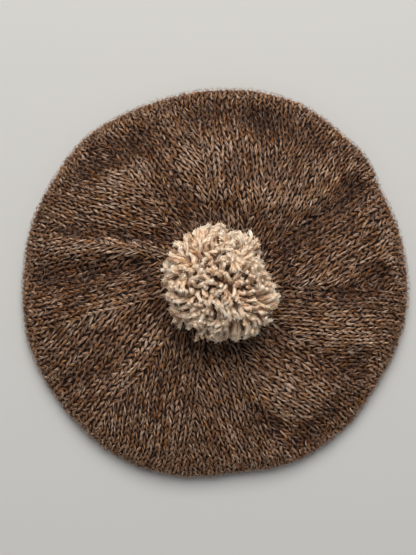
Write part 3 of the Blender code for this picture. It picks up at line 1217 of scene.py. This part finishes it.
@dataclass
class Crown:
    """The knitted crown: a ground of wool, dark with painted shade between the stitches, and the
    stitches that cover it.

    The tint of a leg mixes a wave along its row with values of its stitch and its own, with
    painted shade in the dents and painted light on the raised folds.
    """

    cloth: CrownCloth
    seed: int = 11
    first_row: int = 4
    last_row: int = 50
    ground_depth: float = 0.0019
    ground_wall: float = 0.0018
    ground_steps: int = 216
    ground_rows: int = 60
    merge_distance: float = 0.00001
    least_stitch: float = 0.35
    least_row: float = 0.2
    uneven: float = 0.075
    fibre_aside: float = 0.022
    fibre_along: float = 0.09
    swell_uneven: float = 0.08
    lift_uneven: float = 0.00018
    lift_most: float = 0.0006
    drift: tuple[Wave, ...] = (Wave(0.35, 7, 0.35), Wave(0.25, 13, -0.5, 2))
    tint_waves: tuple[Wave, ...] = (Wave(1, 17, 12.9), Wave(1, 29, 78.2))
    tint_by_wave: float = 0.015
    tint_by_stitch: float = 0.03
    tint_by_fibre: float = 0.26
    leg_share: float = 0.4
    # Painted shade: how far a leg's tint falls per metre of dent; on raised folds it rises as
    # painted light
    painted_fold_shade: float = 75.0
    under_shape: StitchShape = field(default_factory=lambda: StitchShape(5, 4, fibres=1))
    top_shape: StitchShape = field(default_factory=StitchShape)

    def build(self) -> list[bpy.types.Object]:
        """Builds the ground and every section of stitches.

        Returns:
            The crown's pieces.
        """
        wool = HEATHER.material()
        ground = self._ground()
        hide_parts(*self.cloth.nodes)
        pieces = [ground]
        chance = np.random.default_rng(self.seed)
        edge = self.cloth.top_rows + 1
        bands = (
            (self.top_shape, range(self.first_row, edge), "top"),
            (self.under_shape, range(edge, self.last_row), "under"),
        )
        for index in range(len(self.cloth.section_lines)):
            for shape, rows, part in bands:
                name = f"stitches_{part}_{index + 1:02d}"
                piece = self._section(name, index, shape, rows, chance)
                piece.data.materials.append(wool)
                pieces.append(piece)
        return pieces

    def _ground(self) -> bpy.types.Object:
        """Closed wall below the stitches: a grid bent to the cloth, joined up and thickened.

        Its inner face has the knitting's purl side.

        Returns:
            The wall's object.
        """
        cloth = self.cloth
        ground = started(
            bpy.ops.mesh.primitive_grid_add,
            "crown_ground",
            size=1,
            x_subdivisions=self.ground_steps,
            y_subdivisions=self.ground_rows,
        )
        mesh = ground.data
        flat = np.array([corner.co[:2] for corner in mesh.vertices]) + 0.5
        depth = np.full(len(flat), -self.ground_depth)
        bent = cloth.place(flat[:, 0] * 360, flat[:, 1] * cloth.rows, depth)
        mesh.vertices.foreach_set("co", bent.astype(np.float32).ravel())
        mesh.uv_layers.active.name = "yarn"
        for loop in mesh.uv_layers.active.data:
            loop.uv = (loop.uv[0] * cloth.wales, loop.uv[1] * cloth.rows)
        bpy.ops.object.mode_set(mode="EDIT")
        bpy.ops.mesh.select_all(action="SELECT")
        bpy.ops.mesh.remove_doubles(threshold=self.merge_distance)
        bpy.ops.mesh.normals_make_consistent(inside=False)
        bpy.ops.object.mode_set(mode="OBJECT")
        if mesh.polygons[0].normal.z < 0:
            mesh.flip_normals()
        # The outer face seen between the stitches is dark with painted shade; the inner face has
        # the purl side
        for wool in (HEATHER_GAP_SHADE, HEATHER_PURL):
            mesh.materials.append(wool.material())
        wall = ground.modifiers.new("wall", "SOLIDIFY")
        wall.thickness = self.ground_wall
        wall.offset = -1
        wall.material_offset = 1
        wall.material_offset_rim = 1
        bpy.ops.object.modifier_apply(modifier="wall")
        ground.data.shade_smooth()
        return ground

    def _section(
        self,
        name: str,
        index: int,
        shape: StitchShape,
        rows: range,
        chance: np.random.Generator,
    ) -> bpy.types.Object:
        """Stitches of one section between two lines of decreases.

        Args:
            name: Name of the piece.
            index: The section's number.
            shape: Shape of a stitch's leg.
            rows: Rows to be covered, from the eye.
            chance: Source of unevenness.

        Returns:
            The piece.
        """
        line, width = self.cloth.section(index)
        legs = np.repeat(self._legs(rows, chance), shape.fibres, axis=0)
        row, middle, fill, side = legs[:, :4].T
        shared, own = legs[:, 4:8], legs[:, 8:13]
        fibre = chance.normal(0, 1, (len(legs), 3))
        local = shape.local[np.arange(len(legs)) % shape.fibres]
        uneven = self.uneven
        x = local[..., 0] * (1 + uneven * shared[:, 0:1]) * fill[:, None] * side[:, None]
        x = x + uneven / 2 * shared[:, 1:2] + uneven / 2 * own[:, 0:1] * local[..., 1]
        y = local[..., 1] * (1 + uneven * own[:, 1:2]) + uneven * own[:, 2:3]
        if shape.fibres > 1:
            x = x + self.fibre_aside * fibre[:, 0:1]
            y = y + self.fibre_along * fibre[:, 1:2]
        swell = 1 + self.swell_uneven * own[:, 3:4]
        lift = local[..., 2] * swell
        lift = lift + self.lift_uneven * shared[:, 2:3] + self.lift_uneven * own[:, 4:5]
        place_row = np.clip(row[:, None] - y, self.least_row, self.cloth.rows)
        across = self.cloth.stitches_across(place_row)
        azimuth = line - width * (middle[:, None] + x) / across
        azimuth = azimuth + sum(wave.at(azimuth, place_row) for wave in self.drift)
        corners = self.cloth.place(azimuth, place_row, np.minimum(lift, self.lift_most))
        mixed = self.leg_share * own[:, 0] + fibre[:, 2]
        tints = self._tints(azimuth.mean(axis=1), row, mixed, shared[:, 3])
        return shape.shape.copies(name, corners, tints)

    def _legs(self, rows: range, chance: np.random.Generator) -> np.ndarray:
        """Places of a section's legs, with their random values.

        Args:
            rows: Rows to be covered, from the eye.
            chance: Source of unevenness.

        Returns:
            For each leg its row, stitch, share of a stitch and side, then four random values
            of its stitch and five of its own.
        """
        legs = []
        for row in rows:
            across = float(self.cloth.stitches_across(np.array(row + 0.5)))
            for stitch in range(int(math.ceil(across - self.least_stitch))):
                over = max(0.0, stitch + 1 - across)
                place = (row + 0.5, stitch + 0.5 - over / 2, 1 - over)
                shared = chance.normal(0, 1, 4)
                for side in Lie:
                    legs.append((*place, side.value, *shared, *chance.normal(0, 1, 5)))
        return np.array(legs)

    def _tints(
        self, azimuth: np.ndarray, row: np.ndarray, own: np.ndarray, shared: np.ndarray
    ) -> np.ndarray:
        """Tint of each leg, which changes slowly along a row, with painted shade in the dents and
        painted light on the raised folds.

        Args:
            azimuth: Azimuth of each leg, in degrees.
            row: Row of each leg.
            own: A random value of each leg.
            shared: A random value of each stitch.

        Returns:
            Tints from 0 to 1.
        """
        slow = sum(wave.at(azimuth, row) for wave in self.tint_waves)
        mixed = 0.5 + self.tint_by_wave * slow + self.tint_by_stitch * shared
        mixed = mixed + self.tint_by_fibre * own
        # Painted shade in the dents and painted light on the raised folds, from their depth
        return np.clip(mixed - self.painted_fold_shade * self.cloth.dent(azimuth, row), 0, 1)


# The headband


@dataclass
class Headband:
    """Ribbed headband: knit wales in pairs on the ribs, and purl bumps between them."""

    node: str = "headband"
    radius: float = 0.080
    wall: float = 0.0046
    rib_depth: float = 0.0011
    height: float = 0.020
    top_margin: float = 0.001
    ribs: int = RIBS
    rib_wales: int = RIB_WALES
    rows: int = 4
    knit_rise: float = 0.56
    knit_tint: float = 0.5
    purl_rise: float = 0.5
    # Purl wales are a little darker than knit ones, as painted shade in the rib's hollows
    purl_shade_tint: float = 0.42
    purl_length: float = 0.78
    purl_middle: tuple[float, float] = (0.24, 0.06)
    tint_uneven: float = 0.15
    seed: int = 5
    proud: float = 0.0013
    proud_uneven: float = 0.00008
    inside_proud: float = 0.8
    shape: StitchShape = field(default_factory=lambda: StitchShape(5, 5, fibres=1))

    def build(self) -> list[bpy.types.Object]:
        """Dresses the band and adds its stitches on both faces.

        Returns:
            The new pieces.
        """
        dress(self.node, HEATHER_BAND)
        wool = HEATHER.material()
        chance = np.random.default_rng(self.seed)
        pieces = []
        for face in Face:
            piece = self._face(face, chance)
            piece.data.materials.append(wool)
            pieces.append(piece)
        return pieces

    def _face(self, face: Face, chance: np.random.Generator) -> bpy.types.Object:
        """Stitches of one face, whose ribs lie between those of the other.

        Args:
            face: The side of the band.
            chance: Source of unevenness.

        Returns:
            The piece.
        """
        wale = 360 / (self.ribs * self.rib_wales)
        row_height = (self.height - self.top_margin) / self.rows
        shift = 0 if face is Face.OUTSIDE else self.rib_wales // 2
        copies, tints = [], []
        for rib in range(self.ribs):
            for x, row, tint in self._stitches(rib * self.rib_wales + shift):
                height = self.top_margin / 2 + row * row_height
                copies.append(self._bent(x * wale, height, face, chance))
                tints.append(chance.normal(tint, self.tint_uneven))
        name = f"rib_stitches_{face.name.lower()}"
        return self.shape.shape.copies(name, np.array(copies), np.clip(np.array(tints), 0, 1))

    def _stitches(self, start: int) -> Iterator[tuple[np.ndarray, np.ndarray, float]]:
        """Two knit wales and the two purl wales beside them.

        Args:
            start: Wale between the knit ones.

        Yields:
            Places round the band, in wales, and up it, in rows, and the tint of each stitch.
        """
        x, y = self.shape.local[0, :, 0], self.shape.local[0, :, 1]
        for wale in (-0.5, 0.5):
            for row in range(self.rows):
                for side in Lie:
                    yield start + wale + x * side.value, row + self.knit_rise + y, self.knit_tint
        middle_x, middle_y = self.purl_middle
        for wale in (1.5, 2.5):
            for row in range(self.rows):
                places = start + wale + (y - middle_y) * self.purl_length
                yield places, row + self.purl_rise + (x - middle_x), self.purl_shade_tint

    def _bent(
        self, azimuth: np.ndarray, height: np.ndarray, face: Face, chance: np.random.Generator
    ) -> np.ndarray:
        """Points of a stitch bent round the band.

        Args:
            azimuth: Azimuths in degrees.
            height: Heights in metres.
            face: The side of the band.
            chance: Source of unevenness.

        Returns:
            The points.
        """
        turn = np.radians(azimuth)
        rib = self.rib_depth * (0.5 - 0.5 * np.cos(self.ribs * turn))
        raised = self.shape.local[0, :, 2] + self.proud + chance.normal(0, self.proud_uneven)
        if face is Face.OUTSIDE:
            reach = self.radius - rib + raised
        else:
            reach = self.radius - self.wall - raised * self.inside_proud
        height = np.clip(height, 2 * FLOOR_GAP, self.height - FLOOR_GAP)
        return np.column_stack([reach[:, None] * circle(turn), height])


# The pompom


@dataclass(frozen=True)
class Bulge:
    """Place where the pompom stands out (reach above zero) or lies back (below zero).

    The reach is a share of the pompom's radius, and the other sizes are in degrees.
    """

    azimuth: float
    elevation: float
    half_width: float
    reach: float

    def share(self, ways: np.ndarray) -> np.ndarray:
        """What the bulge adds to the pompom's reach.

        Args:
            ways: Directions from the pompom's middle.

        Returns:
            Shares of the radius.
        """
        flat, up = circle(math.radians(self.elevation))
        axis = np.array([*(flat * circle(math.radians(self.azimuth))), up])
        away = np.degrees(np.arccos(np.clip(ways @ axis, -1, 1)))
        return self.reach * bell(away / (2 * self.half_width))


# Tufts and flats of the pompom's outline, read from the photograph
BULGES = (
    Bulge(320, 5, 28, 0.200),
    Bulge(0, 0, 7, 0.090),
    Bulge(24, 5, 18, -0.180),
    Bulge(46, 0, 8, 0.250),
    Bulge(75, 0, 7, -0.120),
    Bulge(92, 0, 8, 0.125),
    Bulge(135, 0, 7, 0.115),
    Bulge(150, 0, 6, -0.060),
    Bulge(197, 0, 12, -0.110),
    Bulge(226, 0, 7, 0.180),
    Bulge(240, 0, 6, -0.120),
    Bulge(256, 0, 8, 0.200),
)


@dataclass(frozen=True)
class StrandStep:
    """Control point of a strand: its depth in strand lengths, and its share of the bend."""

    depth: float
    bend: float


@dataclass
class Pompom:
    """Pompom of cut yarn: a heart dark with painted shade, and strands of two plies that open at
    their ends.

    The steps are shares of a strand's length, and the offsets of a fibre are shares of the
    yarn's reach. Every radius, reach, droop and curl is in metres.
    """

    node: str = "pompom"
    middle: tuple[float, float, float] = (0.0010, 0.0010, 0.0607)
    radius: float = 0.0359
    squash: float = 0.95
    seat: float = 0.0335
    upper_from: float = 0.006
    heart_share: float = 0.70
    heart_lumps: float = 0.05
    heart_waves: tuple[float, float, float] = (19, 23, 17)
    heart_starts: tuple[float, float, float] = (0, 1, 2)
    strand_count: int = 860
    strand_length: float = 0.0150
    strand_steps: tuple[StrandStep, ...] = (
        StrandStep(1.0, 0.0),
        StrandStep(0.42, 0.0),
        StrandStep(0.04, 0.45),
        StrandStep(0.12, 1.0),
    )
    way_uneven: float = 0.04
    tuft_axes: int = 6
    tuft_waves: float = 7.5
    tuft_lean: float = 0.9
    own_lean: float = 0.5
    tuft_reach: float = 0.0009
    own_reach: float = 0.0011
    strand_tint: float = 0.11
    # Cores are darker than their strands, as painted shade between the fibres
    core_shade_tint: float = 0.85
    core_end: float = 0.96
    core_reach: float = 0.0011
    yarn_reach: float = 0.00155
    fibre_reach: float = 0.00030
    fibre_tint: float = 0.21
    fibre_lengths: tuple[float, float] = (0.93, 1.0)
    fibre_thicknesses: tuple[float, float] = (0.75, 1.25)
    fibres_upper: int = 12
    fibres_lower: int = 8
    ply_turns: float = 1.1
    ply_offset: float = 0.42
    own_turns: float = 1.4
    own_offset: float = 0.50
    open_from: float = 0.62
    open_curve: float = 1.5
    open_wider: float = 0.3
    open_apart: float = 0.38
    open_thinner: float = 0.20
    droop: float = 0.0076
    curl: float = 0.0019
    crinkle: float = 0.25
    trim: float = 1.04
    trim_uneven: float = 0.03
    loose_count: int = 400
    loose_reach: float = 0.00011
    loose_lengths: tuple[float, float] = (0.0012, 0.0034)
    loose_lean: float = 0.8
    loose_apart: float = 0.0008
    loose_bend: float = 0.35
    loose_steps: tuple[float, float] = (0.4, 0.7)
    loose_tints: tuple[float, float] = (0.4, 1.0)
    seed: int = 3

    def build(self) -> list[bpy.types.Object]:
        """Builds the heart, the strands and the loose fibres.

        Returns:
            The pompom's pieces.
        """
        chance = np.random.default_rng(self.seed)
        heart = self._heart()
        heart.data.materials.append(FAWN_SHADED_HEART.material())
        control, guide = self._lines(chance)
        tints = np.clip(chance.normal(0.5, self.strand_tint, len(control)), 0, 1)
        strands = [self._cores(control, guide, tints)]
        upper = control[:, 3, 2] > self.middle[2] + self.upper_from
        for name, pick, fibres in (
            ("upper", upper, self.fibres_upper),
            ("lower", ~upper, self.fibres_lower),
        ):
            part = self._fibres(name, fibres, control[pick], guide[pick], tints[pick], chance)
            strands.append(part)
        strands.append(self._loose(control, chance))
        wool = FAWN.material()
        for piece in strands:
            piece.data.materials.append(wool)
        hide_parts(self.node)
        return [heart, *strands]

    def _outline(self, ways: np.ndarray) -> np.ndarray:
        """Reach of the pompom in each direction, before it is squashed."""
        return self.radius * (1 + sum(bulge.share(ways) for bulge in BULGES))

    def _heart(self) -> bpy.types.Object:
        """Uneven ball that the strands stand on, dark with painted shade.

        Returns:
            Its object.
        """
        add = bpy.ops.mesh.primitive_ico_sphere_add
        heart = started(add, "pompom_heart", subdivisions=4, radius=1)
        ways = unit(np.array([corner.co[:] for corner in heart.data.vertices]))
        lumps = np.prod(np.sin(ways * self.heart_waves + self.heart_starts), axis=1)
        reach = self._outline(ways) * (self.heart_share + self.heart_lumps * lumps)
        places = ways * reach[:, None] * (1, 1, self.squash) + np.array(self.middle)
        places[:, 2] = np.maximum(places[:, 2], self.seat)
        heart.data.vertices.foreach_set("co", places.astype(np.float32).ravel())
        heart.data.shade_smooth()
        return heart

    def _lines(self, chance: np.random.Generator) -> tuple[np.ndarray, np.ndarray]:
        """Curves of the strands, which lean over together in tufts near their ends.

        Args:
            chance: Source of unevenness.

        Returns:
            Four control points of each strand, and the vector across its bend.
        """
        count = self.strand_count
        index = np.arange(count) + 0.5
        height = 1 - 2 * index / count
        level = circle(index * GOLDEN_TURN)
        ways = np.column_stack([np.sqrt(1 - height**2)[:, None] * level, height])
        ways = unit(ways + chance.normal(0, self.way_uneven, (count, 3)))
        axes = unit(chance.normal(0, 1, (self.tuft_axes, 3)))
        starts = chance.uniform(0, WHOLE_TURN, self.tuft_axes)
        waves = np.sin(self.tuft_waves * ways @ axes.T + starts)
        lean = self.tuft_lean * waves[:, :3] + chance.normal(0, self.own_lean, (count, 3))
        lean = lean - np.sum(lean * ways, axis=1, keepdims=True) * ways
        reach = self._outline(ways) + self.tuft_reach * (waves[:, 3] + waves[:, 4])
        reach = reach + chance.normal(0, self.own_reach, count)
        controls = []
        for step in self.strand_steps:
            out = ways * (reach - step.depth * self.strand_length)[:, None] * (1, 1, self.squash)
            curl = chance.normal(0, self.curl, (count, 3)) * step.bend
            controls.append(out + lean * step.bend * self.droop + curl + np.array(self.middle))
        trim = self.trim + self.trim_uneven * chance.normal(0, 1, (count, 1))
        control = self._trimmed(np.stack(controls, axis=1), trim)
        keep = control[:, 3, 2] > self.seat + MM
        return control[keep], np.cross(ways, lean)[keep]

    def _trimmed(self, control: np.ndarray, trim: np.ndarray) -> np.ndarray:
        """Strands cut back to the ball's outline where their bent ends pass it.

        Args:
            control: Control points of the strands.
            trim: Where each strand is cut, as a share of the outline's reach.

        Returns:
            The control points, with the last two of each strand inside the cut.
        """
        away = (control[:, 2:] - self.middle) / (1, 1, self.squash)
        length = np.linalg.norm(away, axis=-1)
        limit = self._outline(unit(away).reshape(-1, 3)).reshape(length.shape)
        ends = away * np.minimum(1, limit * trim / length)[..., None]
        ends = ends * (1, 1, self.squash) + np.array(self.middle)
        return np.concatenate([control[:, :2], ends], axis=1)

    def _cores(
        self, control: np.ndarray, guide: np.ndarray, tints: np.ndarray
    ) -> bpy.types.Object:
        """Soft cores of the strands, darker than the strands as painted shade between their fibres.

        Args:
            control: Control points of the strands.
            guide: Vectors across their bends.
            tints: Their tints.

        Returns:
            The cores' object.
        """
        shape = Shape.spindle(segments=5, rings=7)
        size = (len(control), len(shape.along))
        reach = np.broadcast_to(shape.body(self.core_reach), size)
        along = np.broadcast_to(self.core_end * shape.along, size)
        corners = swept(shape, control, reach, guide, along)
        return self._above_seat("pompom_cores", shape, corners, self.core_shade_tint * tints)

    def _fibres(
        self,
        name: str,
        fibres: int,
        control: np.ndarray,
        guide: np.ndarray,
        tints: np.ndarray,
        chance: np.random.Generator,
    ) -> bpy.types.Object:
        """Coarse fibres of the strands' two plies, which spread at the cut ends.

        Args:
            name: Name of the part of the ball.
            fibres: Fibres of each strand.
            control: Control points of the strands.
            guide: Vectors across their bends.
            tints: Their tints.
            chance: Source of unevenness.

        Returns:
            The fibres' object.
        """
        shape = Shape.spindle(segments=3, rings=6)
        strand = np.repeat(np.arange(len(control)), fibres)
        count = len(strand)
        number = (np.arange(count) % fibres)[:, None]
        along = shape.along[None] * chance.uniform(*self.fibre_lengths, (count, 1))
        phase = chance.uniform(0, WHOLE_TURN, len(control))[strand, None]
        twist = WHOLE_TURN * self.ply_turns * along + phase
        ply = twist + (number % 2) * math.pi
        own = twist * self.own_turns + (number // 2) * 2 * WHOLE_TURN / fibres
        offset = circle(ply) * self.ply_offset + circle(own) * self.own_offset
        levels, level = np.unique(np.round(shape.along, 4), return_inverse=True)
        offset = offset + chance.normal(0, self.crinkle, (count, len(levels), 2))[:, level]
        opened = (shape.along - self.open_from) / (1 - self.open_from)
        opened = np.clip(opened, 0, 1)[:, None] ** self.open_curve
        apart = chance.normal(0, self.open_apart, (count, 1, 2)) * opened
        offset = offset * (1 + self.open_wider * opened) + apart
        body = shape.body(1 - self.open_thinner * opened[:, 0])
        thick = self.fibre_reach * math.sqrt(self.fibres_upper / fibres)
        reach = thick * body[None] * chance.uniform(*self.fibre_thicknesses, (count, 1))
        offset = offset * self.yarn_reach
        corners = swept(shape, control[strand], reach, guide[strand], along, offset)
        own_tints = tints[strand] + chance.normal(0, self.fibre_tint, count)
        name = f"pompom_fibres_{name}"
        return self._above_seat(name, shape, corners, np.clip(own_tints, 0, 1))

    def _loose(self, control: np.ndarray, chance: np.random.Generator) -> bpy.types.Object:
        """Fine fibres that stand off the strands' ends.

        Args:
            control: Control points of the strands.
            chance: Source of unevenness.

        Returns:
            Their object.
        """
        shape = Shape.spindle(segments=3, rings=4)
        count = self.loose_count
        pick = chance.integers(0, len(control), count)
        heading = unit(control[pick, 3] - control[pick, 2])
        way = unit(heading + self.loose_lean * chance.normal(0, 1, (count, 3)))
        root = control[pick, 3] + chance.normal(0, self.loose_apart, (count, 3))
        length = chance.uniform(*self.loose_lengths, (count, 1))
        bend = unit(chance.normal(0, 1, (count, 3))) * length * self.loose_bend
        near, far = (root + way * length * step for step in self.loose_steps)
        control = np.stack([root, near, far + bend, root + way * length], axis=1)
        reach = np.broadcast_to(shape.body(self.loose_reach), (count, len(shape.along)))
        corners = swept(shape, control, reach, chance.normal(0, 1, (count, 3)))
        tints = chance.uniform(*self.loose_tints, count)
        return self._above_seat("pompom_loose", shape, corners, tints)

    def _above_seat(
        self, name: str, shape: Shape, corners: np.ndarray, tints: np.ndarray
    ) -> bpy.types.Object:
        """Copies of a shape, pressed flat where the ball sits on the crown.

        Args:
            name: Name of the piece.
            shape: The shape.
            corners: Vertices of its copies.
            tints: Tints of its copies.

        Returns:
            The piece.
        """
        corners[..., 2] = np.maximum(corners[..., 2], self.seat)
        return shape.copies(name, corners, tints)


@dataclass
class Haze:
    """Short loose fibres that lie on the crown's knitting and stand off round its rim.

    Lengths are in rows, and each rise is about the usual height of a fibre, in metres. The
    steps are shares of the length and of the rise.
    """

    cloth: CrownCloth
    top_count: int = 3200
    rim_count: int = 5000
    reach: float = 0.00011
    top_thickness: float = 1.2
    rim_thickness: float = 0.9
    top_lengths: tuple[float, float] = (0.6, 1.6)
    rim_lengths: tuple[float, float] = (0.3, 0.8)
    top_rise: float = 0.0003
    rim_rise: float = 0.0008
    top_from: float = 0.04
    rim_rows: tuple[float, float] = (-3.0, 3.5)
    aside: float = 0.6
    bend: float = 0.5
    root_depth: float = 0.0004
    least_reach: float = 0.01
    tint: float = 0.7
    tint_uneven: float = 0.3
    steps: tuple[tuple[float, float], ...] = ((0, 0.0), (0.33, 0.5), (0.66, 1.0), (1.0, 0.7))
    seed: int = 23

    def build(self) -> bpy.types.Object:
        """Builds the loose fibres.

        Returns:
            Their object.
        """
        chance = np.random.default_rng(self.seed)
        shape = Shape.spindle(segments=3, rings=2)
        count = self.top_count + self.rim_count
        near_rim = np.arange(count) >= self.top_count
        azimuth = chance.uniform(0, 360, count)
        inner = self.cloth.top_rows * np.sqrt(chance.uniform(self.top_from, 1, self.top_count))
        rim = chance.uniform(*self.rim_rows, self.rim_count) + self.cloth.top_rows
        row = np.concatenate([inner, rim])
        turn = chance.normal(0, self.aside, count) + math.pi * chance.integers(0, 2, count)
        turn = np.where(near_rim, chance.uniform(0, WHOLE_TURN, count), turn)
        short = chance.uniform(*self.rim_lengths, count)
        length = np.where(near_rim, short, chance.uniform(*self.top_lengths, count))
        rise = np.abs(chance.normal(0, 1, count)) * np.where(near_rim, self.rim_rise, self.top_rise)
        away = np.maximum(self.cloth.reach(row), self.least_reach)
        degrees_per_row = np.degrees(ROW_HEIGHT / away)
        controls = []
        for share, height in self.steps:
            way = turn + self.bend * share * share
            step_row = np.cos(way) * length * share
            step_turn = np.sin(way) * length * share * degrees_per_row
            lift = rise * height + (FLOOR_GAP if share else -self.root_depth)
            controls.append(self.cloth.place(azimuth + step_turn, row + step_row, lift))
        thick = np.where(near_rim, self.rim_thickness, self.top_thickness)[:, None]
        reach = self.reach * shape.body(1.0)[None] * thick
        guide = chance.normal(0, 1, (count, 3))
        corners = swept(shape, np.stack(controls, axis=1), reach, guide)
        corners[..., 2] = np.maximum(corners[..., 2], FLOOR_GAP)
        tints = np.clip(chance.normal(self.tint, self.tint_uneven, count), 0, 1)
        haze = shape.copies("crown_haze", corners, tints)
        haze.data.materials.append(HEATHER.material())
        return haze


# The setting


@dataclass
class Studio:
    """Pale floor, soft light and the camera straight above.

    The picture's size and the place of the crown's middle in it are in pixels.
    """

    picture: tuple[int, int] = (416, 555)
    metres_per_pixel: float = 0.0007090
    crown_middle: tuple[float, float] = (215.2, 283.0)
    distance: float = 0.75
    rim_height: float = 0.010
    sensor: float = 36.0
    floor_size: float = 30
    floor_colour: Colour = srgb(196, 194, 190)
    floor_roughness: float = 0.9
    sky_colour: Colour = (0.93, 0.96, 1.0)
    sky_strength: float = 0.29
    lamp_place: tuple[float, float, float] = (-0.01, 1.00, 1.47)
    lamp_size: float = 1.2
    lamp_power: float = 34.5
    lamp_colour: Colour = (1.0, 0.99, 0.97)

    def build(self) -> None:
        """Builds the floor, the lights and the camera."""
        self._floor()
        self._sky()
        self._lamp()
        self._camera()

    def _floor(self) -> None:
        """Pale matt floor."""
        floor = started(bpy.ops.mesh.primitive_plane_add, "floor", size=self.floor_size)
        material = bpy.data.materials.new("floor")
        material.use_nodes = True
        shader = material.node_tree.nodes["Principled BSDF"]
        shader.inputs["Base Color"].default_value = (*self.floor_colour, 1)
        shader.inputs["Roughness"].default_value = self.floor_roughness
        floor.data.materials.append(material)

    def _sky(self) -> None:
        """Pale light from all sides."""
        world = bpy.data.worlds.new("sky")
        world.use_nodes = True
        sky = world.node_tree.nodes["Background"]
        sky.inputs["Color"].default_value = (*self.sky_colour, 1)
        sky.inputs["Strength"].default_value = self.sky_strength
        bpy.context.scene.world = world
        bpy.context.scene.view_settings.view_transform = "Standard"

    def _lamp(self) -> None:
        """Soft square lamp above and behind, which faces the crown."""
        lamp = bpy.data.lights.new("key", "AREA")
        lamp.shape = "SQUARE"
        lamp.size = self.lamp_size
        lamp.energy = self.lamp_power
        lamp.color = self.lamp_colour
        holder = bpy.data.objects.new("key", lamp)
        holder.location = self.lamp_place
        holder.rotation_euler = (-Vector(self.lamp_place)).to_track_quat("-Z", "Y").to_euler()
        bpy.context.scene.collection.objects.link(holder)

    def _camera(self) -> None:
        """Camera straight above, framed as the crown sits in the picture."""
        width, height = self.picture
        right = (width / 2 - self.crown_middle[0]) * self.metres_per_pixel
        up = (self.crown_middle[1] - height / 2) * self.metres_per_pixel
        lens = bpy.data.cameras.new("camera")
        lens.sensor_width = self.sensor
        lens.lens = self.sensor * self.distance / (height * self.metres_per_pixel)
        holder = bpy.data.objects.new("camera", lens)
        holder.location = (right, up, self.rim_height + self.distance)
        bpy.context.scene.collection.objects.link(holder)
        bpy.context.scene.camera = holder


def main() -> None:
    """Builds the tam piece by piece, then the studio, and notes the sizes."""
    logging.basicConfig(level=logging.INFO, format="%(name)s: %(message)s")
    cloth = CrownCloth()
    pieces = [*Crown(cloth).build(), *Headband().build(), *Pompom().build(), Haze(cloth).build()]
    total = 0
    for piece in pieces:
        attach(piece, BODY)
        triangles = sum(len(face.vertices) - 2 for face in piece.data.polygons)
        total += triangles
        LOG.info("%s: %d triangles", piece.name, triangles)
    LOG.info("all pieces: %d triangles", total)
    # The tie inside the pompom gets the heart's wool, dark with painted shade
    dress("pompom_tie", FAWN_SHADED_HEART)
    Studio().build()


if __name__ == "__main__":
    main()
